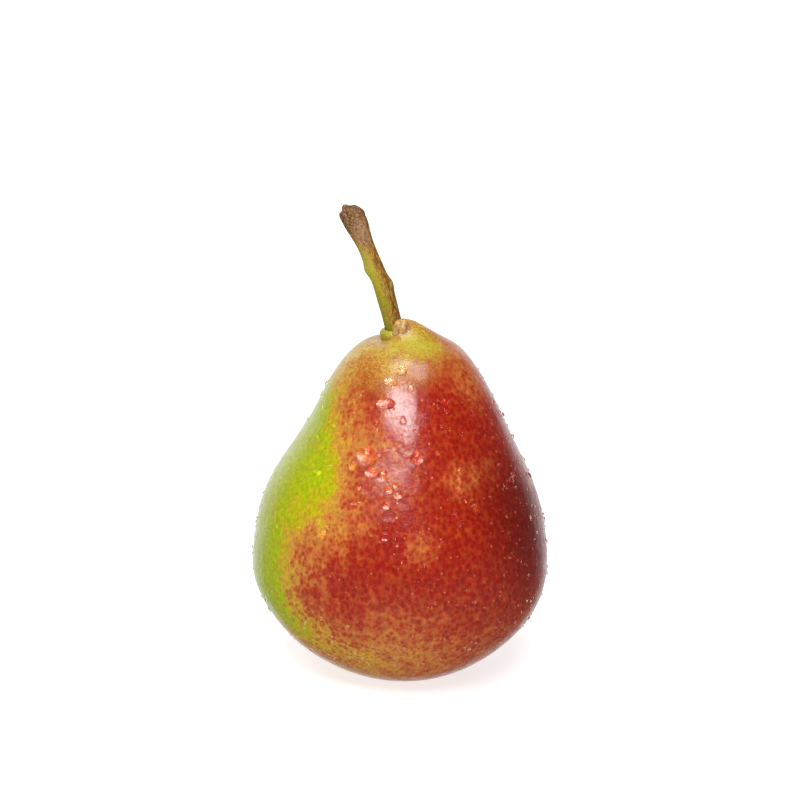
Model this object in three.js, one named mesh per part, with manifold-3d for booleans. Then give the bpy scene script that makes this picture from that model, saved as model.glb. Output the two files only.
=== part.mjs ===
// A blushed pear with its stem, standing on the small flat ring around its flower end.
// Millimetres, +Z up. The origin is the point of the resting plane under the middle of the fruit.

import * as THREE from "three";
import { mergeVertices } from "three/addons/utils/BufferGeometryUtils.js";
import Module from "manifold-3d";

const wasm = await Module();
wasm.setup();

const { smoothstep, lerp } = THREE.MathUtils;

// The fruit's outline, from the flower end up to the collar at the stem. A pull is the distance
// from a point of the outline to its Bezier handle, so a longer pull makes a fuller curve.
const BASIN_DEPTH = 5.2;
const BASIN_WALL_RADIUS = 5;
const BASIN_RADIUS = 7.2;
const FOOT_RADIUS = 9.4;
const FOOT_PULL = 5.6;
const BELLY_RADIUS = 32.5;
const BELLY_HEIGHT = 24.6;
const BELLY_PULL_DOWN = 13.7;
const BELLY_PULL_UP = 16.8;
const SHOULDER_RADIUS = 20.2;
const SHOULDER_HEIGHT = 58.6;
const SHOULDER_TAPER = 0.46; // radius lost for each millimetre of height at the shoulder
const SHOULDER_PULL_DOWN = 9.8;
const SHOULDER_PULL_UP = 13.6;
const CROWN_HEIGHT = 74.7;
const CROWN_FLAT_RADIUS = 10.8;
const COLLAR_RADIUS = 3.5;
const COLLAR_TOP_RADIUS = 2.8;
const COLLAR_HEIGHT = 2.8;

// How the fruit departs from a true round.
const OVAL = 0.007;
const LOBE_COUNT = 5;
const LOBE_SHARE = 0.012;
const LOBE_START = 0.5;
const LOBE_FULL = 8;
const LOBE_END = 22;
const FOOT_SHIFT = 0.85;
const FOOT_SHIFT_END = 11;
const NECK_LEAN = 1.5;
const NECK_START = 38;
const NECK_END = 60;
const CROWN_START = 62;
const STEM_GRIP_RADIUS = 12.25; // inside it, the crown follows the stem's own lean
const RIDGE_RISE = 4.5;
const RIDGE_CENTRE = 0.6;
const RIDGE_LENGTH = 7;
const RIDGE_WIDTH = 4.6;
const RIDGE_EDGE = 2.5; // how far behind the stem's foot the ridge starts to rise
const RIDGE_FULL = 2;

// The stem, from its root inside the fruit to its snapped tip.
const STEM_POINTS = [
  new THREE.Vector3(-0.2, 0, 73),
  new THREE.Vector3(-1.4, 0, 77.7),
  new THREE.Vector3(-3.45, 0.25, 85.3),
  new THREE.Vector3(-6.5, 1, 93),
  new THREE.Vector3(-10.9, 2.3, 103.1),
];
const STEM_RADIUS = 2;
const STEM_TIP_RADIUS = 2.8;
const STEM_TIP_SLANT = 0.3;
const STEM_SHAPE = [
  { along: 0, radius: STEM_RADIUS - 0.3 },
  { along: 0.15, radius: STEM_RADIUS },
  { along: 0.45, radius: STEM_RADIUS - 0.05 },
  { along: 0.7, radius: STEM_RADIUS + 0.1 },
  { along: 0.85, radius: STEM_RADIUS + 0.5 },
  { along: 0.94, radius: STEM_TIP_RADIUS },
  { along: 0.99, radius: 0.6 * STEM_TIP_RADIUS },
];
const TORN_START = 0.85; // where the slant of the snapped end sets in, as a share of the stem
const TORN_FULL = 0.95;
const SOCKET_BEND = 0.15; // the socket's wall and its open end, as shares of the stem
const SOCKET_MOUTH = 0.35;
const SOCKET_FLARE = 0.1;
const STEM_KNUCKLES = [
  { along: 0.56, side: Math.PI, rise: 0.55 },
  { along: 0.43, side: 0, rise: 0.5 },
];
const KNUCKLE_SHARE = 0.045; // half length of a knuckle, as a share of the stem
const FIT_GAP = 0.3;

// The dried flower remains in the basin.
const DISC_RADIUS = 1.9;
const DISC_TOP = 4.6;
const DISC_BOTTOM = 3.2;
const DISC_SHAPE = [
  { share: 0, height: DISC_BOTTOM },
  { share: 0.6, height: DISC_BOTTOM + 0.15 },
  { share: 1, height: DISC_BOTTOM + 0.7 },
  { share: 0.9, height: DISC_TOP - 0.2 },
  { share: 0, height: DISC_TOP },
];
const SEPAL_COUNT = 5;
const SEPAL_FIRST_TURN = 0.25; // as a share of the step from one sepal to the next
const SEPAL_WIDTH = 2.3;
const SEPAL_THICKNESS = 0.5;
const SEPAL_SHAPE = [
  { along: 0, share: 0.45 },
  { along: 0.35, share: 1 },
  { along: 0.75, share: 0.65 },
  { along: 1, share: 0.15 },
];
const SEPAL_POINTS = [
  new THREE.Vector3(2.35, 0, 3.8),
  new THREE.Vector3(3.3, 0, 3.2),
  new THREE.Vector3(4, 0, 2.4),
  new THREE.Vector3(4.5, 0, 1.3),
];

// Fineness of the solids.
const FRUIT_SIDES = 48;
const FRUIT_STEPS = 11;
const STEM_SIDES = 16;
const STEM_STEPS = 22;
const SEPAL_SIDES = 8;
const SEPAL_STEPS = 8;
const DISC_SIDES = 20;

const stemLine = new THREE.CatmullRomCurve3(STEM_POINTS);

// A closed surface of revolution about +Z; the profile runs upward, from axis to axis.
function turned(profile, sides) {
  return new THREE.LatheGeometry(profile, sides).rotateX(Math.PI / 2);
}

// Moves every vertex of a geometry with a function that changes a vector in place.
function moved(geometry, move) {
  const positions = geometry.getAttribute("position");
  const vertex = new THREE.Vector3();
  for (let i = 0; i < positions.count; i += 1) {
    move(vertex.fromBufferAttribute(positions, i));
    positions.setXYZ(i, vertex.x, vertex.y, vertex.z);
  }
  return geometry;
}

// Bends a shape built along +Z from zero to length, so that its axis follows a curve.
function bentAlong(geometry, curve, length) {
  const sideways = new THREE.Vector3(0, 1, 0);
  return moved(geometry, (vertex) => {
    const along = THREE.MathUtils.clamp(vertex.z / length, 0, 1);
    const beyond = vertex.z - along * length;
    const tangent = curve.getTangentAt(along);
    const across = new THREE.Vector3().crossVectors(sideways, tangent).normalize();
    const depth = new THREE.Vector3().crossVectors(tangent, across);
    const spot = curve.getPointAt(along);
    spot.addScaledVector(across, vertex.x);
    spot.addScaledVector(depth, vertex.y);
    spot.addScaledVector(tangent, beyond);
    vertex.copy(spot);
  });
}

// A manifold-3d solid from a closed three.js geometry, and back.
function solidOf(geometry) {
  const bare = geometry.clone();
  bare.deleteAttribute("normal");
  bare.deleteAttribute("uv");
  const merged = mergeVertices(bare, 1e-4);
  const vertProperties = new Float32Array(merged.getAttribute("position").array);
  const triVerts = new Uint32Array(merged.index.array);
  return new wasm.Manifold(new wasm.Mesh({ numProp: 3, vertProperties, triVerts }));
}

function geometryOf(solid) {
  const mesh = solid.getMesh();
  const geometry = new THREE.BufferGeometry();
  geometry.setAttribute("position", new THREE.BufferAttribute(mesh.vertProperties, 3));
  geometry.setIndex(new THREE.BufferAttribute(mesh.triVerts, 1));
  geometry.computeVertexNormals();
  return geometry;
}

function piece(name, geometry, material) {
  const mesh = new THREE.Mesh(geometry, material);
  mesh.name = name;
  return mesh;
}

// The outline of the flesh: basin, resting ring, belly, shoulder, crown and collar.
function fruitProfile() {
  const outline = new THREE.Path();
  outline.moveTo(0, BASIN_DEPTH);
  outline.bezierCurveTo(
    BASIN_WALL_RADIUS, BASIN_DEPTH,
    BASIN_WALL_RADIUS, 0,
    BASIN_RADIUS, 0,
  );
  outline.lineTo(FOOT_RADIUS, 0);
  outline.bezierCurveTo(
    FOOT_RADIUS + FOOT_PULL, 0,
    BELLY_RADIUS, BELLY_HEIGHT - BELLY_PULL_DOWN,
    BELLY_RADIUS, BELLY_HEIGHT,
  );
  outline.bezierCurveTo(
    BELLY_RADIUS, BELLY_HEIGHT + BELLY_PULL_UP,
    SHOULDER_RADIUS + SHOULDER_PULL_DOWN * SHOULDER_TAPER, SHOULDER_HEIGHT - SHOULDER_PULL_DOWN,
    SHOULDER_RADIUS, SHOULDER_HEIGHT,
  );
  outline.bezierCurveTo(
    SHOULDER_RADIUS - SHOULDER_PULL_UP * SHOULDER_TAPER, SHOULDER_HEIGHT + SHOULDER_PULL_UP,
    CROWN_FLAT_RADIUS, CROWN_HEIGHT,
    COLLAR_RADIUS, CROWN_HEIGHT,
  );
  outline.lineTo(COLLAR_TOP_RADIUS, CROWN_HEIGHT + COLLAR_HEIGHT);
  outline.lineTo(0, CROWN_HEIGHT + COLLAR_HEIGHT);
  return outline.getPoints(FRUIT_STEPS);
}

// Turns the round form into the grown one: faint lobes, a leaning crown and a fleshy ridge.
function growFruit(vertex) {
  const turn = Math.atan2(vertex.y, vertex.x);
  const radius = Math.hypot(vertex.x, vertex.y);
  const lobes = LOBE_SHARE * Math.cos(LOBE_COUNT * turn);
  const lobeRise = smoothstep(vertex.z, LOBE_START, LOBE_FULL);
  const lobeFade = lobeRise * (1 - smoothstep(vertex.z, LOBE_FULL, LOBE_END));
  const swell = 1 - OVAL * (1 - Math.cos(2 * turn)) + lobes * lobeFade;
  vertex.x *= swell;
  vertex.y *= swell;

  const footLean = FOOT_SHIFT * (1 - smoothstep(vertex.z, FOOT_SHIFT_END, BELLY_HEIGHT));
  const neckLean = NECK_LEAN * smoothstep(vertex.z, NECK_START, NECK_END);
  const aboveRoot = vertex.z - STEM_POINTS[0].z;
  const stemSpan = STEM_POINTS[1].z - STEM_POINTS[0].z;
  const stemX = lerp(STEM_POINTS[0].x, STEM_POINTS[1].x, aboveRoot / stemSpan);
  const nearCrown = smoothstep(vertex.z, CROWN_START, CROWN_HEIGHT);
  const nearStem = nearCrown * (1 - smoothstep(radius, COLLAR_RADIUS, STEM_GRIP_RADIUS));
  vertex.x += lerp(footLean + neckLean, stemX, nearStem);

  const ridgeX = (vertex.x - RIDGE_CENTRE) / RIDGE_LENGTH;
  const ridgeY = vertex.y / RIDGE_WIDTH;
  const stemFoot = STEM_POINTS[1].x;
  const besideStem = smoothstep(vertex.x, stemFoot - RIDGE_EDGE, stemFoot + RIDGE_FULL);
  const lift = RIDGE_RISE * Math.exp(-(ridgeX ** 2) - ridgeY ** 2) * besideStem * nearCrown;
  vertex.z = Math.max(vertex.z, Math.min(vertex.z, CROWN_HEIGHT) + lift);
}

function stemProfile(length) {
  const corners = STEM_SHAPE.map(({ along, radius }) => new THREE.Vector2(radius, along * length));
  const sides = new THREE.SplineCurve(corners);
  return [
    new THREE.Vector2(0, 0),
    ...sides.getPoints(STEM_STEPS),
    new THREE.Vector2(0, length),
  ];
}

function stemGeometry() {
  const length = stemLine.getLength();
  const straight = moved(turned(stemProfile(length), STEM_SIDES), (vertex) => {
    const along = vertex.z / length;
    const turn = Math.atan2(vertex.y, vertex.x);
    let swell = 1;
    for (const knuckle of STEM_KNUCKLES) {
      const near = Math.exp(-(((along - knuckle.along) / KNUCKLE_SHARE) ** 2));
      const facing = Math.max(0, Math.cos(turn - knuckle.side)) ** 2;
      swell += (knuckle.rise / STEM_RADIUS) * near * facing;
    }
    vertex.x *= swell;
    vertex.y *= swell;
    vertex.z -= STEM_TIP_SLANT * vertex.x * smoothstep(along, TORN_START, TORN_FULL);
  });
  return bentAlong(straight, stemLine, length);
}

// The hole that the stem grows out of: the stem's own line, wider by the fitting gap.
function socketGeometry() {
  const length = stemLine.getLength();
  const radius = STEM_RADIUS + FIT_GAP;
  const bore = [
    new THREE.Vector2(0, -FIT_GAP),
    new THREE.Vector2(radius, -FIT_GAP),
    new THREE.Vector2(radius, SOCKET_BEND * length),
    new THREE.Vector2(radius + SOCKET_FLARE, SOCKET_MOUTH * length),
    new THREE.Vector2(0, SOCKET_MOUTH * length),
  ];
  return bentAlong(turned(bore, STEM_SIDES), stemLine, length);
}

function fruitGeometry() {
  const flesh = moved(turned(fruitProfile(), FRUIT_SIDES), growFruit);
  return geometryOf(solidOf(flesh).subtract(solidOf(socketGeometry())));
}

function discGeometry() {
  const profile = DISC_SHAPE.map(
    ({ share, height }) => new THREE.Vector2(share * DISC_RADIUS, height),
  );
  return turned(profile, DISC_SIDES);
}

// One dried sepal: a flattened spindle, curled down along the wall of the basin.
function sepalGeometry(turn) {
  const line = new THREE.CatmullRomCurve3(SEPAL_POINTS);
  const length = line.getLength();
  const half = SEPAL_WIDTH / 2;
  const corners = SEPAL_SHAPE.map(
    ({ along, share }) => new THREE.Vector2(share * half, along * length),
  );
  const outline = new THREE.SplineCurve(corners);
  const profile = [
    new THREE.Vector2(0, 0),
    ...outline.getPoints(SEPAL_STEPS),
    new THREE.Vector2(0, length),
  ];
  const flat = turned(profile, SEPAL_SIDES).scale(SEPAL_THICKNESS / SEPAL_WIDTH, 1, 1);
  return bentAlong(flat, line, length).rotateZ(turn);
}

const skin = new THREE.MeshStandardMaterial({ color: 0xa8442a, roughness: 0.38, metalness: 0 });
const bark = new THREE.MeshStandardMaterial({ color: 0x7d6b2c, roughness: 0.8, metalness: 0 });
const husk = new THREE.MeshStandardMaterial({ color: 0x4b3826, roughness: 0.95, metalness: 0 });

const calyx = new THREE.Group();
calyx.position.x = FOOT_SHIFT;
calyx.add(piece("calyx_disc", discGeometry(), husk));
for (let i = 0; i < SEPAL_COUNT; i += 1) {
  const turn = (2 * Math.PI * (i + SEPAL_FIRST_TURN)) / SEPAL_COUNT;
  calyx.add(piece(`sepal_${i + 1}`, sepalGeometry(turn), husk));
}

const pear = new THREE.Group();
pear.add(piece("fruit", fruitGeometry(), skin));
pear.add(piece("stem", stemGeometry(), bark));
pear.add(calyx);

export default pear;
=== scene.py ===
# %% [markdown]
# # A blushed pear, wet from rinsing
#
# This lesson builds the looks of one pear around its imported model: the skin with its blush, the
# woody stem, the dried flower in the hollow underneath, and the water drops on the skin. The packed
# model gives every place and size. It is loaded first and is never moved.

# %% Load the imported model
import math
import random

import bmesh
import bpy
from mathutils import Matrix, Quaternion, Vector, noise
from mathutils.bvhtree import BVHTree
from mathutils.geometry import interpolate_bezier


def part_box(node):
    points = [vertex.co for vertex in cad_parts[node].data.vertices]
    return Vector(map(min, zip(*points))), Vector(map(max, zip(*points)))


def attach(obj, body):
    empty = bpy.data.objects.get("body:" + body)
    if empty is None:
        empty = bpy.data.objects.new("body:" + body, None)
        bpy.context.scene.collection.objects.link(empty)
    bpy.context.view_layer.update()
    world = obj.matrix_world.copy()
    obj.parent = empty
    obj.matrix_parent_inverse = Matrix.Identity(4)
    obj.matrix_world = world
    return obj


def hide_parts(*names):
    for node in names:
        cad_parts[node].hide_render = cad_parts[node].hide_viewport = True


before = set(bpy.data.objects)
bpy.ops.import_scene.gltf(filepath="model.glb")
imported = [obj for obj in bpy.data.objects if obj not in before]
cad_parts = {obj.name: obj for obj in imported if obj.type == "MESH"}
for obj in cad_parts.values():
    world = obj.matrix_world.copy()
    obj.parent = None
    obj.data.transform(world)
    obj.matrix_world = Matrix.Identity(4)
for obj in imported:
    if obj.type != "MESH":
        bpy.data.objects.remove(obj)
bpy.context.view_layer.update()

MM = 0.001
fruit_low, fruit_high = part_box("fruit")
stem_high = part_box("stem")[1]
print("fruit", [round(v / MM, 1) for v in (*fruit_low, *fruit_high)], "mm")

# %% [markdown]
# ## Camera
#
# The pear is seen a little from above, from about sixteen degrees, with a long lens so that its
# sides run nearly parallel. The long lens keeps the belly from bulging towards the reader.

# %% Camera
VIEW_ELEVATION = math.radians(16)
VIEW_DISTANCE = 480 * MM
AIM = Vector((0, 0, 61 * MM))

camera_data = bpy.data.cameras.new("view")
camera_data.lens = 100
camera_data.sensor_width = 36
camera_data.clip_start = 0.01
camera = bpy.data.objects.new("view", camera_data)
towards_viewer = Vector((0, -math.cos(VIEW_ELEVATION), math.sin(VIEW_ELEVATION)))
camera.location = AIM + towards_viewer * VIEW_DISTANCE
camera.rotation_euler = (math.pi / 2 - VIEW_ELEVATION, 0, 0)
bpy.context.scene.collection.objects.link(camera)
bpy.context.scene.camera = camera
bpy.context.scene.view_settings.view_transform = "Standard"
print("camera at", [round(v, 3) for v in camera.location])

# %% [markdown]
# ## Node helpers
#
# A fruit skin is many thin patterns laid over each other, so its node tree is long. A small class
# with one short call for each kind of node keeps such a tree readable: each call makes a node,
# plugs in what it is given, and hands back its output. Positions come from the object's own
# coordinates, turned into millimetres, so that every pattern has a real size.


# %% Node helpers
def colour(red, green, blue):
    """A screen colour, 0 to 255, as the linear colour that nodes work in."""
    def linear(value):
        share = value / 255
        return share / 12.92 if share <= 0.04045 else ((share + 0.055) / 1.055) ** 2.4
    return (linear(red), linear(green), linear(blue), 1)


class Finish:
    """One material, built by calls that each add a node and return its output."""

    def __init__(self, name, attribute=None):
        self.material = bpy.data.materials.new(name)
        self.material.use_nodes = True
        self.tree = self.material.node_tree
        self.tree.nodes.clear()
        self.output = self.tree.nodes.new("ShaderNodeOutputMaterial")
        if attribute:
            node = self.tree.nodes.new("ShaderNodeAttribute")
            node.attribute_name = attribute
            self.place = node.outputs["Vector"]
        else:
            place = self.tree.nodes.new("ShaderNodeTexCoord").outputs["Object"]
            self.place = self.stretch(place, 1 / MM, 1 / MM, 1 / MM)

    def plug(self, socket, value):
        if isinstance(value, bpy.types.NodeSocket):
            self.tree.links.new(value, socket)
        else:
            socket.default_value = value

    def stretch(self, vector, x, y, z):
        node = self.tree.nodes.new("ShaderNodeVectorMath")
        node.operation = "MULTIPLY"
        self.plug(node.inputs[0], vector)
        node.inputs[1].default_value = (x, y, z)
        return node.outputs[0]

    def shift(self, vector, offset, strength):
        """Moves a position by a noise colour, so that a pattern's edges wander."""
        centred = self.tree.nodes.new("ShaderNodeVectorMath")
        centred.operation = "SUBTRACT"
        self.plug(centred.inputs[0], offset)
        centred.inputs[1].default_value = (0.5, 0.5, 0.5)
        node = self.tree.nodes.new("ShaderNodeVectorMath")
        node.operation = "MULTIPLY_ADD"
        self.plug(node.inputs[0], centred.outputs[0])
        node.inputs[1].default_value = (strength, strength, strength)
        self.plug(node.inputs[2], vector)
        return node.outputs[0]

    def maths(self, operation, first, second=0.0, third=0.0, clamp=False):
        node = self.tree.nodes.new("ShaderNodeMath")
        node.operation = operation
        node.use_clamp = clamp
        for socket, value in zip(node.inputs, (first, second, third)):
            self.plug(socket, value)
        return node.outputs[0]

    def step(self, value, low, high, start=0.0, end=1.0):
        """A smooth step: start below low, end above high."""
        node = self.tree.nodes.new("ShaderNodeMapRange")
        node.interpolation_type = "SMOOTHSTEP"
        for name, given in (
            ("Value", value), ("From Min", low), ("From Max", high), ("To Min", start), ("To Max", end),
        ):
            self.plug(node.inputs[name], given)
        return node.outputs[0]

    def axis(self, vector, letter):
        node = self.tree.nodes.new("ShaderNodeSeparateXYZ")
        self.plug(node.inputs[0], vector)
        return node.outputs[letter]

    def distance(self, centre, flatten=(1, 1, 1)):
        """How far each point is from a centre in mm, with each axis weighed."""
        weighed = self.stretch(self.place, *flatten)
        node = self.tree.nodes.new("ShaderNodeVectorMath")
        node.operation = "DISTANCE"
        self.plug(node.inputs[0], weighed)
        node.inputs[1].default_value = [c * f for c, f in zip(centre, flatten)]
        return node.outputs["Value"]

    def spot(self, centre, core, edge, flatten=(1, 1, 1)):
        """One inside the core radius, fading to nothing at the edge radius, both in mm."""
        return self.step(self.distance(centre, flatten), core, edge, 1.0, 0.0)

    def noise(self, vector, size, detail=2.0, roughness=0.5, distortion=0.0, colours=False):
        """Soft noise whose features are about size mm apart."""
        node = self.tree.nodes.new("ShaderNodeTexNoise")
        self.plug(node.inputs["Vector"], vector)
        node.inputs["Scale"].default_value = 1 / size
        node.inputs["Detail"].default_value = detail
        node.inputs["Roughness"].default_value = roughness
        node.inputs["Distortion"].default_value = distortion
        return node.outputs[1 if colours else 0]

    def cells(self, vector, size, feature="F1", randomness=1.0, output="Distance"):
        """Distance from the nearest cell centre, or from the nearest cell wall."""
        node = self.tree.nodes.new("ShaderNodeTexVoronoi")
        node.feature = feature
        self.plug(node.inputs["Vector"], vector)
        node.inputs["Scale"].default_value = 1 / size
        node.inputs["Randomness"].default_value = randomness
        return node.outputs[output]

    def blend(self, share, first, second, mode="MIX"):
        node = self.tree.nodes.new("ShaderNodeMix")
        node.data_type = "RGBA"
        node.blend_type = mode
        self.plug(node.inputs[0], share)
        self.plug(node.inputs[6], first)
        self.plug(node.inputs[7], second)
        return node.outputs[2]

    def ramp(self, value, stops):
        """Colours along a value: stops are (value, colour) pairs in rising order."""
        node = self.tree.nodes.new("ShaderNodeValToRGB")
        self.plug(node.inputs[0], value)
        elements = node.color_ramp.elements
        while len(elements) < len(stops):
            elements.new(0.5)
        for element, (position, paint) in zip(elements, stops):
            element.position = position
            element.color = paint
        return node.outputs[0]

    def bump(self, height, strength, distance, normal=None):
        node = self.tree.nodes.new("ShaderNodeBump")
        node.inputs["Strength"].default_value = strength
        node.inputs["Distance"].default_value = distance
        self.plug(node.inputs["Height"], height)
        if normal is not None:
            self.plug(node.inputs["Normal"], normal)
        return node.outputs[0]

    def surface(self, **sockets):
        """The glossy or matt shader itself. Its socket names are written with underscores."""
        node = self.tree.nodes.new("ShaderNodeBsdfPrincipled")
        for name, value in sockets.items():
            self.plug(node.inputs[name.replace("_", " ")], value)
        self.tree.links.new(node.outputs[0], self.output.inputs[0])
        return node.outputs[0]

    def paint(self, piece):
        piece.data.materials.append(self.material)


# %% [markdown]
# ## The fruit's form
#
# A pear is one grown body. Its outline is drawn as four Bezier stretches, basin, belly, shoulder and
# crown, and then a collar that hugs the stem. One spin round the axis turns it, and the same growth
# rules that the solid follows pull it out of round: faint lobes at the flower end, a leaning neck,
# and a fleshy ridge beside the stem. Sculpting by hand could do this too, but a drawn outline keeps
# the proportions exact and the surface even, which a glossy skin needs.

# %% Outline of the fruit
BASIN_DEPTH = 5.2
BASIN_RADIUS = 7.2
FOOT_RADIUS = 9.4
BELLY_RADIUS = (fruit_high.x - fruit_low.x) / 2 / MM
BELLY_HEIGHT = 24.6
SHOULDER_RADIUS = 20.2
SHOULDER_HEIGHT = 58.6
SHOULDER_TAPER = 0.46
CROWN_HEIGHT = 74.6
CROWN_FLAT_RADIUS = 10.8
BASIN_PULL = 5
FOOT_PULL = 5.6
BELLY_PULL_DOWN = 13.7
BELLY_PULL_UP = 16.8
SHOULDER_PULL_DOWN = 9.8
SHOULDER_PULL_UP = 13.6
COLLAR_RADIUS = 3.4
COLLAR_HEIGHT = 2.4
SOCKET_RADIUS = 1.9
SOCKET_FLOOR = 74.4
FRUIT_COLUMNS = 72
BASIN_STEPS = 9
BELLY_STEPS = 14
FLANK_STEPS = 13
CROWN_STEPS = 18


def stretch_of_outline(start, start_pull, end_pull, end, steps):
    """Points of one Bezier stretch of an outline, given as (radius, height) pairs in mm."""
    corners = [Vector((radius, 0, height)) for radius, height in (start, start_pull, end_pull, end)]
    return interpolate_bezier(*corners, steps)


def fruit_outline():
    """The whole outline, from the middle of the basin to the floor of the stem's socket."""
    taper = SHOULDER_TAPER
    basin = stretch_of_outline(
        (0, BASIN_DEPTH),
        (BASIN_PULL, BASIN_DEPTH),
        (BASIN_PULL, 0),
        (BASIN_RADIUS, 0),
        BASIN_STEPS,
    )
    belly = stretch_of_outline(
        (FOOT_RADIUS, 0),
        (FOOT_RADIUS + FOOT_PULL, 0),
        (BELLY_RADIUS, BELLY_HEIGHT - BELLY_PULL_DOWN),
        (BELLY_RADIUS, BELLY_HEIGHT),
        BELLY_STEPS,
    )
    flank = stretch_of_outline(
        (BELLY_RADIUS, BELLY_HEIGHT),
        (BELLY_RADIUS, BELLY_HEIGHT + BELLY_PULL_UP),
        (SHOULDER_RADIUS + SHOULDER_PULL_DOWN * taper, SHOULDER_HEIGHT - SHOULDER_PULL_DOWN),
        (SHOULDER_RADIUS, SHOULDER_HEIGHT),
        FLANK_STEPS,
    )
    crown = stretch_of_outline(
        (SHOULDER_RADIUS, SHOULDER_HEIGHT),
        (SHOULDER_RADIUS - SHOULDER_PULL_UP * taper, SHOULDER_HEIGHT + SHOULDER_PULL_UP),
        (CROWN_FLAT_RADIUS, CROWN_HEIGHT),
        (COLLAR_RADIUS + 0.3, CROWN_HEIGHT),
        CROWN_STEPS,
    )
    collar_top = CROWN_HEIGHT + COLLAR_HEIGHT
    collar = [
        Vector((COLLAR_RADIUS, 0, CROWN_HEIGHT + 0.15)),
        Vector((COLLAR_RADIUS + 0.15, 0, CROWN_HEIGHT + 0.7)),
        Vector((COLLAR_RADIUS + 0.05, 0, CROWN_HEIGHT + 1.4)),
        Vector((COLLAR_RADIUS - 0.35, 0, collar_top - 0.4)),
        Vector((COLLAR_RADIUS - 1.0, 0, collar_top)),
        Vector((SOCKET_RADIUS + 0.05, 0, collar_top - 0.2)),
        Vector((SOCKET_RADIUS, 0, collar_top - 0.9)),
        Vector((SOCKET_RADIUS, 0, SOCKET_FLOOR + 0.2)),
        Vector((0, 0, SOCKET_FLOOR)),
    ]
    return basin + belly + flank[1:] + crown[1:] + collar


outline = fruit_outline()
print("outline of", len(outline), "points, top at", round(outline[-4].z, 1), "mm")

# %% [markdown]
# The growth rules work on one point at a time. `ease` is the smooth step that fades each rule in and
# out, and `hump` is the soft bell that swells one place. After the rules, low soft noise adds the
# shallow dents that every grown surface has, except at the foot, which stays flat. The front of the
# neck is a little fuller, with a slight dip under it, which ends the highlight there.

# %% Growth of the fruit
OVAL = 0.007
LOBE_COUNT = 5
LOBE_SHARE = 0.012
LOBE_START = 0.5
LOBE_FULL = 8
LOBE_END = 22
FOOT_SHIFT = 0.85
FOOT_SHIFT_END = 11
NECK_LEAN = 1.5
LEAN_START = 38
LEAN_FULL = 60
CROWN_START = 62
STEM_GRIP_FULL = 3.5
STEM_GRIP_END = 12.25
RIDGE_RISE = 4.5
RIDGE_CENTRE = 0.6
RIDGE_LENGTH = 7
RIDGE_WIDTH = 4.6
RIDGE_EDGE = 2.5
RIDGE_FULL = 2
BROAD_DENT = 0.35
BROAD_DENT_SIZE = 21
SMALL_DENT = 0.16
SMALL_DENT_SIZE = 9
SMALL_DENT_PLACE = Vector((7, 3, 1))
DENT_CLEAR_RADIUS = 3
DENT_START = 2
DENT_FULL = 14
CROWN_CALM = 0.7
CROWN_CALM_START = 68
CROWN_CALM_FULL = 75
FRONT_FULLNESS = 0.85
FULLNESS_HEIGHT = 58
FULLNESS_SPREAD = 10
FRONT_DIP = 0.35
DIP_HEIGHT = 44
DIP_SPREAD = 7
STEM_ROOT = Vector((-0.2, 0, 73))
STEM_FOOT = Vector((-1.4, 0, 77.7))


def ease(value, low, high):
    """None below low, one above high, and a smooth rise between."""
    share = min(max((value - low) / (high - low), 0), 1)
    return share * share * (3 - 2 * share)


def hump(value, middle, spread):
    """One in the middle, falling off softly on both sides."""
    return math.exp(-(((value - middle) / spread) ** 2))


def grown(point):
    """Where a point of the plain turned form lies on the grown pear, in mm."""
    x, y, z = point
    turn = math.atan2(y, x)
    radius = math.hypot(x, y)
    lobe_share = LOBE_SHARE * math.cos(LOBE_COUNT * turn)
    lobes = lobe_share * ease(z, LOBE_START, LOBE_FULL) * (1 - ease(z, LOBE_FULL, LOBE_END))
    swell = 1 - OVAL * (1 - math.cos(2 * turn)) + lobes
    x *= swell
    y *= swell

    foot_shift = FOOT_SHIFT * (1 - ease(z, FOOT_SHIFT_END, BELLY_HEIGHT))
    lean = foot_shift + NECK_LEAN * ease(z, LEAN_START, LEAN_FULL)
    stem_run = STEM_FOOT.x - STEM_ROOT.x
    stem_rise = STEM_FOOT.z - STEM_ROOT.z
    stem_x = STEM_ROOT.x + stem_run * (z - STEM_ROOT.z) / stem_rise
    near_crown = ease(z, CROWN_START, CROWN_HEIGHT)
    near_stem = near_crown * (1 - ease(radius, STEM_GRIP_FULL, STEM_GRIP_END))
    x += lean + (stem_x - lean) * near_stem

    ridge = math.exp(-(((x - RIDGE_CENTRE) / RIDGE_LENGTH) ** 2) - (y / RIDGE_WIDTH) ** 2)
    beside_stem = ease(x, STEM_FOOT.x - RIDGE_EDGE, STEM_FOOT.x + RIDGE_FULL)
    lift = RIDGE_RISE * ridge * beside_stem * near_crown
    z = max(z, min(z, CROWN_HEIGHT) + lift)
    return Vector((x, y, z))


def dented(point):
    """Adds the shallow unevenness of a grown surface, and the fuller front of the neck."""
    outward = Vector((point.x, point.y, 0))
    if outward.length < DENT_CLEAR_RADIUS:
        return point
    calm_crown = 1 - CROWN_CALM * ease(point.z, CROWN_CALM_START, CROWN_CALM_FULL)
    amount = ease(point.z, DENT_START, DENT_FULL) * calm_crown
    dents = BROAD_DENT * noise.noise(point / BROAD_DENT_SIZE)
    dents += SMALL_DENT * noise.noise(point / SMALL_DENT_SIZE + SMALL_DENT_PLACE)
    front = max(0, -outward.normalized().y) ** 3
    fullness = FRONT_FULLNESS * hump(point.z, FULLNESS_HEIGHT, FULLNESS_SPREAD)
    fullness -= FRONT_DIP * hump(point.z, DIP_HEIGHT, DIP_SPREAD)
    return point + outward.normalized() * (dents + front * fullness) * amount


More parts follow.
